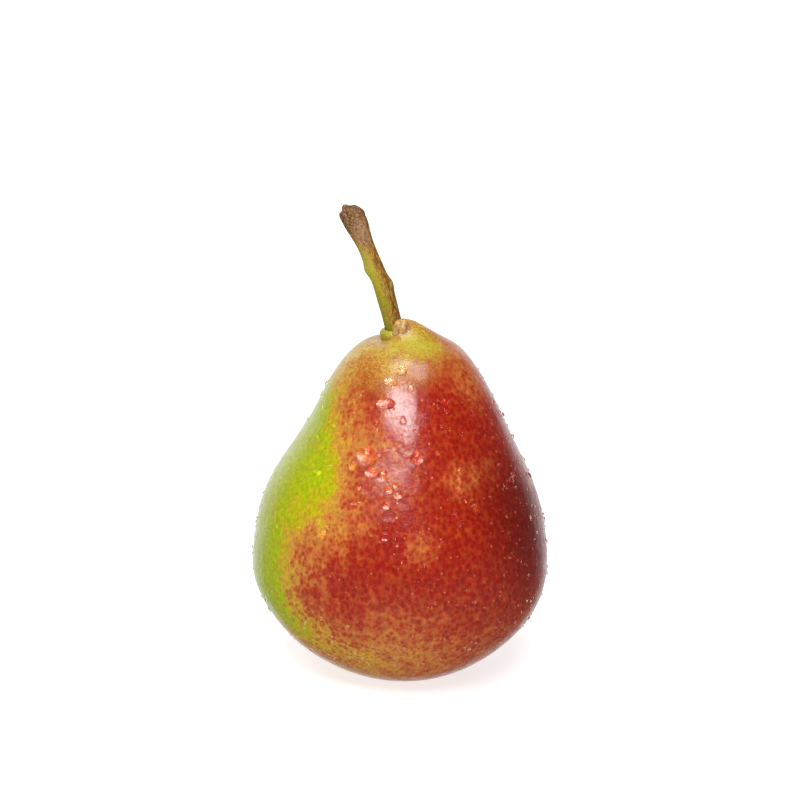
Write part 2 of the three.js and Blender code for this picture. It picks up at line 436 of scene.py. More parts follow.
# %% Skin of the fruit
def finish_piece(bm, name):
    """Closes a bmesh made in mm, turns it into an object in metres, smooth and at the origin."""
    bmesh.ops.remove_doubles(bm, verts=bm.verts, dist=1e-4)
    bmesh.ops.recalc_face_normals(bm, faces=bm.faces)
    bmesh.ops.scale(bm, vec=(MM, MM, MM), verts=bm.verts)
    for face in bm.faces:
        face.smooth = True
    mesh = bpy.data.meshes.new(name)
    bm.to_mesh(mesh)
    bm.free()
    piece = bpy.data.objects.new(name, mesh)
    bpy.context.scene.collection.objects.link(piece)
    return piece


def refine(piece, levels):
    """Rounds a piece off with a subdivision surface."""
    rounder = piece.modifiers.new("rounder", "SUBSURF")
    rounder.levels = levels
    rounder.render_levels = levels


def turned(points, columns):
    """Spins an outline in the XZ plane round Z into a closed body."""
    bm = bmesh.new()
    dots = [bm.verts.new(point) for point in points]
    lines = [bm.edges.new(pair) for pair in zip(dots, dots[1:])]
    bmesh.ops.spin(
        bm, geom=dots + lines, cent=(0, 0, 0), axis=(0, 0, 1), angle=math.tau,
        steps=columns, use_merge=True, use_duplicate=False,
    )
    bmesh.ops.remove_doubles(bm, verts=bm.verts, dist=1e-4)
    return bm


skin_bm = turned(outline, FRUIT_COLUMNS)
for vert in skin_bm.verts:
    vert.co = dented(grown(vert.co))
skin = finish_piece(skin_bm, "fruit_skin")
refine(skin, 2)
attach(skin, "root")
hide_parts("fruit")
print("skin of", len(skin.data.polygons), "faces before rounding")

# %% [markdown]
# Beside the stem, at the front, the flesh has swollen into a small knob that is pressed against the
# stalk, with a crease all round it. A squashed ball sunk into the crown draws that crease by itself.

# %% Knob beside the stem
KNOB_CENTRE = Vector((0.35, -2.3, 76.5))
KNOB_REACH = Vector((2.15, 1.8, 3.1))
KNOB_UNEVEN = 0.22
KNOB_NOISE = 1.5
KNOB_NOISE_PLACE = Vector((5, 2, 8))

knob_bm = bmesh.new()
bmesh.ops.create_uvsphere(knob_bm, u_segments=32, v_segments=20, radius=1)
for vert in knob_bm.verts:
    uneven = 1 + KNOB_UNEVEN * noise.noise(vert.co * KNOB_NOISE + KNOB_NOISE_PLACE)
    vert.co = KNOB_CENTRE + vert.co * KNOB_REACH * uneven
knob = finish_piece(knob_bm, "crown_knob")
refine(knob, 1)
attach(knob, "root")
print("knob of", len(knob.data.polygons), "faces before rounding")

# %% [markdown]
# ## The skin's colours
#
# The sun side of a pear reddens and the shaded flank stays lime green. The red doesn't fade in
# evenly: it starts as separate red-brown dots round the pores, the dots grow until only a net of
# the paler ground colour is left between them, and at last the net closes. So one value, ripeness,
# says how far each point has come. It grows with the distance from a centre in the shaded flank,
# and cell noise compared with it makes the dots, the net and the closed red in one go. A long list
# of layers reads best with short names, so each finish goes by one letter: `s` for the skin, and
# further down `b` for the bark, `h` for the husk of the flower and `w` for the water.

# %% Ripeness
s = Finish("pear skin")
height = s.axis(s.place, "Z")
wander = s.noise(s.place, 9, detail=3, colours=True)
broad = s.noise(s.place, 7.5, detail=2, roughness=0.55)
patchy = s.noise(s.stretch(s.place, 1, 1, 0.75), 2.6, detail=3, roughness=0.62)
fine = s.noise(s.stretch(s.place, 1, 1, 0.6), 0.55, detail=3, roughness=0.6)

SHADED_FLANK = (-29, 10, 46)
flank_distance = s.distance(SHADED_FLANK, flatten=(1, 1, 1.6))
flank_distance = s.maths("MULTIPLY_ADD", s.maths("SUBTRACT", broad, 0.5), 8, flank_distance)
flank_distance = s.maths("MULTIPLY_ADD", s.maths("SUBTRACT", patchy, 0.5), 5, flank_distance)
ripeness = s.maths(
    "ADD", s.step(flank_distance, 30, 40, 0.0, 0.5), s.step(flank_distance, 38, 52, 0.0, 0.5),
)
ripeness = s.maths("ADD", ripeness, s.step(height, 10, 32, -0.29, 0.0))


def ripen(centre, core, edge, amount):
    """Adds to the ripeness round one place on the fruit, or takes from it."""
    return s.maths("MULTIPLY_ADD", s.spot(centre, core, edge), amount, ripeness)


ripeness = ripen((-13, -13, 58), 3, 11, 0.05)
ripeness = ripen((-14, -4, 71), 4, 12, -0.3)
ripeness = ripen((-24, -14, 8), 6, 28, -0.48)
ripeness = ripen((-27, -17, 17), 3, 13, -0.22)
ripeness = ripen((-30, -12, 26), 5, 16, -0.35)
ripeness = ripen((14, -6, 69), 3, 13, -0.34)
ripeness = ripen((-21, -24, 25), 3, 12, -0.16)
ripeness = ripen((2, -31, 21), 3, 14, -0.12)
ripeness = ripen((-16, 26, 12), 6, 30, -0.5)
ripeness = ripen((-10, -27, 18), 4, 18, -0.14)
ripeness = ripen((-24, -19, 40), 3, 11, 0.1)
ripeness = ripen((-24, -22, 30), 2, 12, 0.06)
ripeness = ripen((-9, -22, 50), 2, 9, 0.15)
ripeness = ripen((2, -22, 2), 6, 22, -0.14)
ripeness = ripen((4, -30, 38), 1, 7, -0.3)
ripeness = ripen((13, -22, 50), 1, 7, -0.32)
ripeness = ripen((18, -17, 51), 1, 6, -0.2)
ripeness = ripen((-1, -30, 41), 1, 6, 0.22)
ripeness = s.maths("MULTIPLY_ADD", s.maths("SUBTRACT", patchy, 0.5), 0.6, ripeness)
ripeness = s.maths("MAXIMUM", ripeness, s.step(height, 9, 20, 0.42, 0.0))
ripeness = s.step(ripeness, -0.1, 1.1, 0.0, 1.0)

# %% Dots, net and closed red
ground = s.ramp(ripeness, [
    (0.0, colour(152, 170, 6)),
    (0.16, colour(176, 152, 20)),
    (0.34, colour(188, 138, 46)),
    (0.55, colour(184, 116, 52)),
    (0.8, colour(180, 90, 44)),
    (1.0, colour(168, 52, 16)),
])
blush = s.ramp(ripeness, [
    (0.0, colour(134, 132, 8)),
    (0.2, colour(160, 96, 20)),
    (0.45, colour(162, 60, 22)),
    (0.7, colour(154, 38, 14)),
    (1.0, colour(138, 12, 4)),
])
cell_place = s.shift(s.stretch(s.place, 1, 1, 0.75), s.noise(s.place, 0.9, detail=2, colours=True), 1.0)
pore = s.cells(cell_place, 0.95, randomness=0.9)
reach = s.step(ripeness, 0.0, 1.0, -0.12, 0.9)
reach = s.maths("MULTIPLY_ADD", s.maths("SUBTRACT", fine, 0.5), 1.0, reach)
dotted = s.spot((-22, -20, 15), 8, 23)
reach = s.maths("MULTIPLY_ADD", dotted, 0.3, reach)
early_blush = s.maths("MULTIPLY", dotted, s.step(ripeness, 0.1, 0.5, 0.85, 0.0))
blush = s.blend(early_blush, blush, colour(160, 76, 24))
dot_edge = s.step(ripeness, 0.2, 0.8, -0.14, -0.3)
dot_core = s.step(ripeness, 0.2, 0.8, 0.14, 0.7)
reddened = s.step(s.maths("SUBTRACT", reach, pore), dot_edge, dot_core)
skin_colour = s.blend(reddened, ground, blush)

# %% [markdown]
# Three places keep colours of their own. The crown round the stem stays straw yellow with orange freckles,
# the sun side deepens to maroon, with painted shade darkening the right flank as well, and the skin in
# the flower hollow is brown and corky.

# %% Crown, deeper blush with painted shade on the right flank, and hollow
crown = s.step(s.distance((-5, -3, 79), flatten=(1, 1, 1.2)), 9, 23, 1.0, 0.0)
crown = s.maths("MULTIPLY", crown, s.step(s.maths("ADD", fine, patchy), 0.75, 1.25, 1.1, 0.5), clamp=True)
speckle = s.noise(s.place, 0.38, detail=2, roughness=0.5)
freckled = s.step(s.maths("MULTIPLY_ADD", broad, 0.5, speckle), 0.68, 0.92)
straw = s.blend(freckled, colour(188, 172, 66), colour(172, 104, 40))
ridge = s.spot((11, 3, 77), 6, 13)
straw = s.blend(s.maths("MULTIPLY", ridge, s.step(speckle, 0.36, 0.6)), straw, colour(168, 88, 24))
skin_colour = s.blend(crown, skin_colour, straw)
lime_fold = s.spot((4.5, -6, 75), 1, 6, flatten=(0.7, 1, 1))
lime_fold = s.maths("MULTIPLY", lime_fold, s.step(fine, 0.3, 0.6, 0.05, 0.5))
skin_colour = s.blend(lime_fold, skin_colour, colour(172, 176, 14))
collar_green = s.maths("MULTIPLY", s.spot((-1.6, 0, 76.4), 2.4, 4.6), 0.75)
skin_colour = s.blend(collar_green, skin_colour, colour(150, 146, 30))
knob_tan = s.spot((0.4, -3, 77.6), 1.3, 2.6)
knob_colour = s.blend(s.step(fine, 0.3, 0.7), colour(158, 108, 58), colour(190, 154, 90))
skin_colour = s.blend(knob_tan, skin_colour, knob_colour)

# Painted shade: the right flank is multiplied darker. Part of this is a deeper maroon blush, and part is
# shade painted in where that side turns from the light.
maroon_and_painted_shade = s.step(s.distance((34, -18, 43), flatten=(1, 1, 0.8)), 6, 24, 0.85, 0.0)
skin_colour = s.blend(maroon_and_painted_shade, skin_colour, s.blend(1.0, skin_colour, colour(160, 104, 94), mode="MULTIPLY"))

hollow = s.spot((0.85, 0, 3), 4.5, 10)
hollow = s.maths("MULTIPLY", hollow, s.step(fine, 0.3, 0.6))
skin_colour = s.blend(hollow, skin_colour, colour(132, 96, 52))

# %% Skin shader
freckle = s.cells(s.shift(s.place, wander, 2), 2.4)
freckle = s.step(freckle, 0.07, 0.13, 0.6, 0.0)
freckle = s.maths("MULTIPLY", freckle, s.step(ripeness, 0.25, 0.85, 0.5, 1.0))
freckle_colour = s.blend(s.step(ripeness, 0.25, 0.6), colour(136, 128, 34), colour(206, 122, 76))
skin_colour = s.blend(freckle, skin_colour, freckle_colour)
shade = s.step(fine, 0.3, 0.72, 0.74, 1.18)
skin_colour = s.blend(1.0, skin_colour, shade, mode="MULTIPLY")

peel = s.noise(s.place, 0.42, detail=2, roughness=0.6)
ripple = s.noise(s.place, 2.6, detail=2)
gloss = s.step(s.maths("ADD", peel, patchy), 0.75, 1.25, 0.14, 0.34)
dry = s.maths("ADD", crown, knob_tan)
peel_bump = s.bump(peel, 0.6, 0.06 * MM, s.bump(ripple, 0.8, 0.25 * MM))
s.surface(
    Base_Color=skin_colour,
    Roughness=s.maths("MULTIPLY_ADD", dry, 0.12, gloss),
    IOR=1.42,
    Coat_Weight=0.4,
    Coat_Roughness=0.2,
    Normal=peel_bump,
)
s.paint(skin)
s.paint(knob)
print("skin finish has", len(s.tree.nodes), "nodes")

# %% [markdown]
# ## The stem
#
# The stem is a woody stalk that bends away from the fruit and thickens to a rough blunt end where it
# broke from the branch. Two small bumps mark where scales once sat. It is turned as a straight stick
# first, given its bumps, grooves and broken end, and then bent along its curve. Each point keeps
# its unbent place as an attribute, so that the bark's streaks can follow the bend.

# %% The stem's middle line
STEM_POINTS = [
    STEM_ROOT,
    STEM_FOOT,
    Vector((-3.45, 0.25, 85.3)),
    Vector((-6.5, 1, 93)),
    Vector((-10.9, 2.3, stem_high.z / MM)),
]
STRETCH_STEPS = 24


def slope(before, point, after):
    """The direction of a smooth curve through a point, weighed by the gaps on its two sides."""
    gap_before = math.sqrt((point - before).length)
    gap_after = math.sqrt((after - point).length)
    direction = (point - before) / gap_before - (after - before) / (gap_before + gap_after)
    return direction + (after - point) / gap_after


def curve_through(points):
    """Close-set places along a smooth curve through the points."""
    knots = [points[0] * 2 - points[1], *points, points[-1] * 2 - points[-2]]
    places = [points[0]]
    for before, start, end, after in zip(knots, knots[1:], knots[2:], knots[3:]):
        gap = math.sqrt((end - start).length)
        start_pull = start + slope(before, start, end) * gap / 3
        end_pull = end - slope(start, end, after) * gap / 3
        places += interpolate_bezier(start, start_pull, end_pull, end, STRETCH_STEPS)[1:]
    return places


stem_line = curve_through(STEM_POINTS)
stem_marks = [0.0]
for start, end in zip(stem_line, stem_line[1:]):
    stem_marks.append(stem_marks[-1] + (end - start).length)
stem_length = stem_marks[-1]
print("stem", round(stem_length, 1), "mm long along its middle")


def on_stem(distance):
    """The place and the direction of the middle line at a distance from its root."""
    distance = min(max(distance, 0), stem_length)
    index = 1
    while stem_marks[index] < distance and index < len(stem_marks) - 1:
        index += 1
    start, end = stem_line[index - 1], stem_line[index]
    share = (distance - stem_marks[index - 1]) / (stem_marks[index] - stem_marks[index - 1])
    return start.lerp(end, share), (end - start).normalized()


# %% Stem
STEM_RADIUS = 2.0
STEM_TIP_RADIUS = 2.8
STEM_TIP_SLANT = 0.3
STEM_END_DOME = 0.1
STEM_STEPS = 52
STEM_COLUMNS = 28
STEM_ROOT_TAPER = 0.3
STEM_ROOT_SHARE = 0.15
STEM_MIDDLE_TAPER = 0.15
STEM_MIDDLE_START = 0.3
STEM_MIDDLE_FULL = 0.55
FLARE_START = 0.7
FLARE_FULL = 0.93
TIP_ROUNDING = 0.45
TIP_ROUNDING_START = 0.94
KNUCKLES = [(0.56, math.pi, 0.6), (0.43, 0.0, 0.55)]
KNUCKLE_SHARE = 0.045
GROOVE_COUNT = 7
GROOVE_DEPTH = 0.02
GROOVE_TWIST = 3
FIBRE_DEPTH = 0.06
FIBRE_ACROSS = 1.1
FIBRE_ALONG = 0.22
TORN_START = 0.86
TORN_FULL = 0.98
TORN_SWELL = 0.32
TORN_SWELL_GRAIN = 0.7
TORN_SINK = 0.9
TORN_SINK_GRAIN = 0.9
TORN_SINK_PLACE = Vector((4, 0, 9))


def stem_radius(along):
    """Radius of the stick in mm, from its root at 0 to its broken end at 1."""
    waist = STEM_RADIUS - STEM_ROOT_TAPER + STEM_ROOT_TAPER * ease(along, 0, STEM_ROOT_SHARE)
    flare = (STEM_TIP_RADIUS - STEM_RADIUS) * ease(along, FLARE_START, FLARE_FULL)
    flare -= STEM_MIDDLE_TAPER * ease(along, STEM_MIDDLE_START, STEM_MIDDLE_FULL)
    end = 1 - TIP_ROUNDING * ease(along, TIP_ROUNDING_START, 1) ** 2
    return (waist + flare) * end


def roughened(point):
    """Adds the bumps, the grooves and the torn end to a point of the straight stick."""
    along = point.z / stem_length
    turn = math.atan2(point.y, point.x)
    swell = 1 + GROOVE_DEPTH * math.cos(GROOVE_COUNT * turn + GROOVE_TWIST * along)
    for place, side, rise in KNUCKLES:
        near = hump(along, place, KNUCKLE_SHARE)
        swell += rise / STEM_RADIUS * near * max(0, math.cos(turn - side)) ** 2
    fibre = Vector((point.x * FIBRE_ACROSS, point.y * FIBRE_ACROSS, point.z * FIBRE_ALONG))
    swell += FIBRE_DEPTH * noise.noise(fibre)
    torn = ease(along, TORN_START, TORN_FULL)
    swell += TORN_SWELL * torn * noise.noise(point * TORN_SWELL_GRAIN)
    x, y = point.x * swell, point.y * swell
    sunk = TORN_SINK * torn * noise.noise(point * TORN_SINK_GRAIN + TORN_SINK_PLACE)
    return Vector((x, y, point.z - STEM_TIP_SLANT * x * torn + sunk))


def bent(point):
    """Where a point of the straight stick lies once the stem is bent along its curve."""
    middle, direction = on_stem(point.z)
    beyond = point.z - min(max(point.z, 0), stem_length)
    across = Vector((0, 1, 0)).cross(direction).normalized()
    depth = direction.cross(across)
    return middle + across * point.x + depth * point.y + direction * beyond


stick = [Vector((0, 0, 0))]
for step in range(STEM_STEPS + 1):
    along = step / STEM_STEPS
    stick.append(Vector((stem_radius(along), 0, along * stem_length)))
for share in (0.66, 0.33, 0):
    stick.append(Vector((stem_radius(1) * share, 0, stem_length + STEM_END_DOME)))
stem_bm = turned(stick, STEM_COLUMNS)
unbent = stem_bm.verts.layers.float_vector.new("unbent")
for vert in stem_bm.verts:
    vert[unbent] = vert.co
    vert.co = bent(roughened(vert.co))
stem = finish_piece(stem_bm, "stem_bark")
refine(stem, 1)
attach(stem, "root")
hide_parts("stem")
print("stem of", len(stem.data.polygons), "faces")

# %% [markdown]
# The bark is still green on the shaded side, and brown and cracked on the sun side. Towards the
# broken end it turns to dry grey brown, with a mauve patch of old bark. All its streaks run
# lengthwise, so the noises are stretched along the unbent stick.

# %% Stem bark
b = Finish("stem bark", attribute="unbent")
up_stem = b.axis(b.place, "Z")
sunward = b.axis(b.place, "X")
streak = b.noise(b.stretch(b.place, 1, 1, 0.25), 0.32, detail=4, roughness=0.65)
blotch = b.noise(b.stretch(b.place, 1, 1, 0.45), 1.7, detail=3, roughness=0.6)
grain = b.noise(b.place, 0.28, detail=3, roughness=0.6)
green = b.ramp(b.step(up_stem, 0, 31), [
    (0.0, colour(122, 114, 6)),
    (0.3, colour(142, 132, 6)),
    (0.55, colour(158, 152, 22)),
    (0.75, colour(164, 146, 52)),
    (1.0, colour(140, 112, 52)),
])
brown = b.ramp(streak, [
    (0.4, colour(84, 46, 14)),
    (0.5, colour(132, 88, 28)),
    (0.62, colour(170, 134, 56)),
])
browned = b.maths("MULTIPLY_ADD", b.maths("SUBTRACT", blotch, 0.5), 4.5, sunward)
browned = b.maths("MULTIPLY_ADD", b.maths("SUBTRACT", streak, 0.5), 7.0, browned)
browned = b.maths("ADD", browned, b.step(up_stem, 20, 28, 0.0, 2.8))
bark_colour = b.blend(b.step(browned, -0.7, 0.7), green, brown)
torn_end = b.step(b.maths("MULTIPLY_ADD", blotch, 5, up_stem), 27.5, 31.5)
torn_grain = b.maths("MULTIPLY_ADD", b.maths("SUBTRACT", blotch, 0.5), 0.7, grain)
torn_colour = b.ramp(torn_grain, [
    (0.32, colour(62, 36, 18)),
    (0.5, colour(112, 76, 42)),
    (0.7, colour(164, 124, 76)),
])
bark_colour = b.blend(torn_end, bark_colour, torn_colour)
mauve = b.spot((0.6, -2.4, 25.5), 0.8, 2.6, flatten=(1, 1, 0.6))
mauve = b.maths("MULTIPLY", mauve, b.step(grain, 0.35, 0.6))
bark_colour = b.blend(b.maths("MULTIPLY", mauve, 0.7), bark_colour, colour(160, 124, 106))
bark_colour = b.blend(1.0, bark_colour, b.step(grain, 0.3, 0.7, 0.75, 1.12), mode="MULTIPLY")
b.surface(
    Base_Color=bark_colour,
    Roughness=b.step(streak, 0.3, 0.7, 0.5, 0.75),
    Specular_IOR_Level=0.3,
    Normal=b.bump(grain, 0.6, 0.12 * MM, b.bump(streak, 0.7, 0.25 * MM)),
)
b.paint(stem)
print("bark finish has", len(b.tree.nodes), "nodes")

# %% [markdown]
# ## The dried flower
#
# In the hollow at the fruit's foot sit the remains of the flower: a small cushion, five dried sepals
# that curl outwards, and a tuft of dead stamens. The sepals are thin, so each is a narrow leaf of a
# few faces that gets its thickness afterwards.

# %% Dried flower
FLOWER_CENTRE = Vector((0.85, 0, 0))
DISC_RADIUS = 1.9
DISC_TOP = 4.6
DISC_BOTTOM = 3.2
DISC_ROUNDING = 0.4
DISC_COLUMNS = 20
SEPAL_COUNT = 5
SEPAL_FIRST_TURN = 0.25
SEPAL_WIDTH = 2.3
SEPAL_THICKNESS = 0.3
SEPAL_ROOT_RADIUS = 2.35
SEPAL_ROOT_HEIGHT = 3.9
SEPAL_RISE_RADIUS = 3.5
SEPAL_BEND_RADIUS = 4.6
SEPAL_BEND_HEIGHT = 2.6
SEPAL_TIP_HEIGHT = 1.1
SEPAL_STEPS = 9
SEPAL_SAG = 0.35
SEPAL_CRUMPLE = 0.12
STAMEN_COUNT = 14
STAMEN_RING_RADIUS = 1.1
STAMEN_ROOT_RADIUS = 0.14
STAMEN_TIP_RADIUS = 0.09
luck = random.Random(20)

disc_bm = turned([
    Vector((0, 0, DISC_TOP)),
    Vector((DISC_RADIUS, 0, DISC_TOP)),
    Vector((DISC_RADIUS, 0, DISC_BOTTOM + DISC_ROUNDING)),
    Vector((DISC_RADIUS - DISC_ROUNDING, 0, DISC_BOTTOM)),
    Vector((0.9, 0, DISC_BOTTOM + 0.25)),
    Vector((0, 0, DISC_BOTTOM + 0.5)),
], DISC_COLUMNS)
bmesh.ops.translate(disc_bm, verts=disc_bm.verts, vec=FLOWER_CENTRE)
disc = finish_piece(disc_bm, "flower_cushion")
refine(disc, 1)
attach(disc, "root")
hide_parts("calyx_disc")


def leaf(turn, curl):
    """One dried sepal, rooted beside the cushion and curled over at its tip."""
    spine = interpolate_bezier(
        Vector((SEPAL_ROOT_RADIUS, 0, SEPAL_ROOT_HEIGHT)),
        Vector((SEPAL_RISE_RADIUS, 0, SEPAL_ROOT_HEIGHT)),
        Vector((SEPAL_BEND_RADIUS, 0, SEPAL_BEND_HEIGHT)),
        Vector((SEPAL_BEND_RADIUS - curl, 0, SEPAL_TIP_HEIGHT)),
        SEPAL_STEPS,
    )
    bm = bmesh.new()
    rows = []
    for index, place in enumerate(spine):
        along = index / (len(spine) - 1)
        fuller_middle = 0.75 + 0.4 * math.sin(math.pi * along)
        pointed_tip = 1 - 0.85 * ease(along, 0.45, 1)
        half = SEPAL_WIDTH / 2 * fuller_middle * pointed_tip
        row = []
        for share in (-1, -0.5, 0, 0.5, 1):
            sag = SEPAL_SAG * (share * share) * (1 - along)
            sag += SEPAL_CRUMPLE * noise.noise(Vector((turn, share, along * 3)))
            row.append(bm.verts.new(place + Vector((0, half * share, sag))))
        rows.append(row)
    for low, high in zip(rows, rows[1:]):
        for column in range(len(low) - 1):
            bm.faces.new((low[column], low[column + 1], high[column + 1], high[column]))
    bmesh.ops.recalc_face_normals(bm, faces=bm.faces)
    bmesh.ops.solidify(bm, geom=bm.faces, thickness=SEPAL_THICKNESS)
    bmesh.ops.rotate(bm, verts=bm.verts, cent=(0, 0, 0), matrix=Matrix.Rotation(turn, 3, "Z"))
    bmesh.ops.translate(bm, verts=bm.verts, vec=FLOWER_CENTRE)
    return bm


sepals = []
for number in range(SEPAL_COUNT):
    turn = math.tau * (number + SEPAL_FIRST_TURN) / SEPAL_COUNT
    sepal = finish_piece(leaf(turn, luck.uniform(0.1, 0.9)), f"dried_sepal_{number + 1}")
    refine(sepal, 1)
    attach(sepal, "root")
    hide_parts(f"sepal_{number + 1}")
    sepals.append(sepal)

stamen_bm = bmesh.new()
for number in range(STAMEN_COUNT):
    turn = math.tau * number / STAMEN_COUNT + luck.uniform(-0.15, 0.15)
    outward = Vector((math.cos(turn), math.sin(turn), 0))
    root = FLOWER_CENTRE + outward * STAMEN_RING_RADIUS + Vector((0, 0, DISC_BOTTOM + DISC_ROUNDING))
    hang = Vector((luck.uniform(-0.3, 0.3), 0, -luck.uniform(0.9, 1.7)))
    tip = root + outward * luck.uniform(-0.5, 0.7) + hang
    made = bmesh.ops.create_cone(
        stamen_bm,
        cap_ends=True,
        segments=6,
        radius1=STAMEN_ROOT_RADIUS,
        radius2=STAMEN_TIP_RADIUS,
        depth=(tip - root).length,
    )
    lean_to = (tip - root).to_track_quat("Z", "Y").to_matrix()
    bmesh.ops.rotate(stamen_bm, verts=made["verts"], cent=(0, 0, 0), matrix=lean_to)
    bmesh.ops.translate(stamen_bm, verts=made["verts"], vec=(root + tip) / 2)
stamens = finish_piece(stamen_bm, "dried_stamens")
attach(stamens, "root")

h = Finish("dried flower")
husk_grain = h.noise(h.stretch(h.place, 1, 1, 0.5), 0.5, detail=3, roughness=0.6)
husk_colour = h.ramp(husk_grain, [
    (0.3, colour(52, 34, 20)),
    (0.55, colour(98, 70, 42)),
    (0.75, colour(140, 110, 70)),
])
h.surface(
    Base_Color=husk_colour,
    Roughness=h.step(husk_grain, 0.3, 0.7, 0.7, 0.9),
    Normal=h.bump(husk_grain, 0.6, 0.1 * MM),
)
for piece in (disc, *sepals, stamens):
    h.paint(piece)
print("dried flower of", len(sepals), "sepals and", STAMEN_COUNT, "stamens")

# %% [markdown]
# ## Water drops
#
# The pear has just been rinsed. Water on a waxy skin stands in low domes, a third as high as they
# are wide, with outlines that sag and lean. The larger drops were placed one by one: each has its
# side, in degrees round the fruit from the front towards the right, its height, its width and its
# length, all in mm. Small drops are scattered among them. Each is a squashed ball that is sunk a
# little into the skin, so light enters it as it enters a real drop and meets the skin below.
# The water's shadow is clear in the middle of each drop and dark at its rim, much as a real drop
# gathers the light.

# %% Where the larger drops lie
DROPS = [
    (2, 71, 2, 2.5),
    (-8, 69, 3, 2),
    (-10, 65, 4, 2.5),
    (-18, 55, 4.5, 4.5),
    (9, 55, 3, 3),
    (-14, 52, 3.5, 2.5),
    (-9, 51, 2.5, 2),
    (-25, 53, 1.5, 3),
    (-5, 49, 2, 2),
    (-1, 48, 2, 2),
    (-6, 46, 2, 2),
    (-20, 46, 3, 1),
    (-6, 40, 2, 2),
    (-33, 39, 2, 2),
    (34, 44, 2, 2.5),
    (2, 62, 1.5, 2),
    (32, 65, 1.5, 1.5),
    (-45, 50, 3, 1),
]
SMALL_DROP_COUNT = 26
SPRAY_SIDE = 8
SPRAY_SPREAD = 32
SPRAY_LOW = 38
SPRAY_HIGH = 68
FINE_DROP_COUNT = 1300
DROP_SHARE = 0.43
MIST_SHARE = 0.42
DROP_LEFTOVER = 0.06
DROP_WOBBLE = 0.12
DROP_WOBBLE_GRAIN = 1.3
DROP_HEAVINESS = 0.14
DROP_SUNK = 0.12
CAST_FROM = 60

bpy.context.view_layer.update()
rounded = skin.evaluated_get(bpy.context.evaluated_depsgraph_get()).to_mesh()
skin_tree = BVHTree.FromPolygons(
    [vert.co.copy() for vert in rounded.vertices],
    [tuple(face.vertices) for face in rounded.polygons],
)


def on_skin(side, height):
    """The place on the skin at a side and a height, and the way it faces there, in mm."""
    turn = math.radians(side)
    outward = Vector((math.sin(turn), -math.cos(turn), 0))
    start = outward * CAST_FROM + Vector((0, 0, height))
    place, facing, _, _ = skin_tree.ray_cast(start * MM, -outward)
    return place / MM, facing


def ball(rings):
    """The points and faces of a round ball of radius 1, to be squashed into drops."""
    bm = bmesh.new()
    bmesh.ops.create_uvsphere(bm, u_segments=rings * 2, v_segments=rings, radius=1)
    bm.verts.index_update()
    points = [vert.co.copy() for vert in bm.verts]
    faces = [[vert.index for vert in face.verts] for face in bm.faces]
    bm.free()
    return points, faces


def add_drop(bm, shape, place, facing, width, length, share, seed):
    """Adds one drop to a bmesh: a squashed ball with an uneven outline, heavier at its lower end."""
    points, faces = shape
    across = Vector((0, 0, 1)).cross(facing).normalized()
    uphill = facing.cross(across)
    tall = share * min(width, length) + DROP_LEFTOVER * abs(length - width)
    verts = []
    for x, y, z in points:
        wobble_place = Vector((x, y, 0)) * DROP_WOBBLE_GRAIN + Vector((seed, 0, 0))
        wobble = 1 + DROP_WOBBLE * noise.noise(wobble_place)
        x *= wobble * width / 2 * (1 - DROP_HEAVINESS * y)
        y *= wobble * length / 2
        verts.append(bm.verts.new(place + across * x + uphill * y + facing * (z - DROP_SUNK) * tall))
    for face in faces:
        bm.faces.new([verts[index] for index in face])


# %% Larger drops
drop_bm = bmesh.new()
drop_ball = ball(16)
for number, (side, height, width, length) in enumerate(DROPS):
    place, facing = on_skin(side, height)
    add_drop(drop_bm, drop_ball, place, facing, width, length, DROP_SHARE, number * 3.7)
spray = random.Random(11)
for number in range(SMALL_DROP_COUNT):
    place, facing = on_skin(spray.gauss(SPRAY_SIDE, SPRAY_SPREAD), spray.uniform(SPRAY_LOW, SPRAY_HIGH))
    width = spray.uniform(0.8, 1.4)
    length = width * spray.uniform(0.8, 1.5)
    add_drop(drop_bm, drop_ball, place, facing, width, length, DROP_SHARE, number * 5.3)
drops = finish_piece(drop_bm, "water_drops")
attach(drops, "root")
print(len(DROPS), "larger drops and", SMALL_DROP_COUNT, "small ones")

# %% [markdown]
# Between them lies a mist of fine drops, under a millimetre wide. They are scattered evenly by area:
# each lands on a face chosen by its share of the whole skin. The seed fixes the draws, but the order
# of the skin's faces can vary from run to run, so the fine drops may land in other places each time.

# %% Fine drops
MIST_LOW = 9 * MM
MIST_UNDERSIDE = -0.55

scatter = random.Random(7)
faces = [
    face for face in rounded.polygons
    if face.center.z > MIST_LOW and face.normal.z > MIST_UNDERSIDE
]
chosen = scatter.choices(faces, weights=[face.area for face in faces], k=FINE_DROP_COUNT)
mist_bm = bmesh.new()
mist_ball = ball(4)
for number, face in enumerate(chosen):
    width = 0.3 + 0.6 * scatter.random() ** 3
    length = width * scatter.uniform(0.9, 1.5)
    add_drop(mist_bm, mist_ball, face.center / MM, face.normal, width, length, MIST_SHARE, number * 1.3)
mist = finish_piece(mist_bm, "fine_drops")
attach(mist, "root")
skin.evaluated_get(bpy.context.evaluated_depsgraph_get()).to_mesh_clear()
print(len(chosen), "fine drops")

w = Finish("water")
clear = w.surface(
    Base_Color=(1, 0.92, 0.82, 1),
    Roughness=w.step(w.noise(w.place, 1.4), 0.3, 0.7, 0.01, 0.05),
    IOR=1.33,
    Transmission_Weight=1.0,
)
rim = w.tree.nodes.new("ShaderNodeLayerWeight")
rim.inputs["Blend"].default_value = 0.5
passing = w.tree.nodes.new("ShaderNodeBsdfTransparent")
w.plug(passing.inputs["Color"], w.ramp(rim.outputs["Facing"], [
    (0.1, (0.85, 0.85, 0.85, 1)), (0.45, (0.5, 0.5, 0.5, 1)), (0.8, (0.04, 0.04, 0.04, 1)),
]))
light_path = w.tree.nodes.new("ShaderNodeLightPath")
either = w.tree.nodes.new("ShaderNodeMixShader")
w.tree.links.new(light_path.outputs["Is Shadow Ray"], either.inputs[0])
w.tree.links.new(clear, either.inputs[1])
w.tree.links.new(passing.outputs[0], either.inputs[2])
w.tree.links.new(either.outputs[0], w.output.inputs[0])
w.paint(drops)
w.paint(mist)
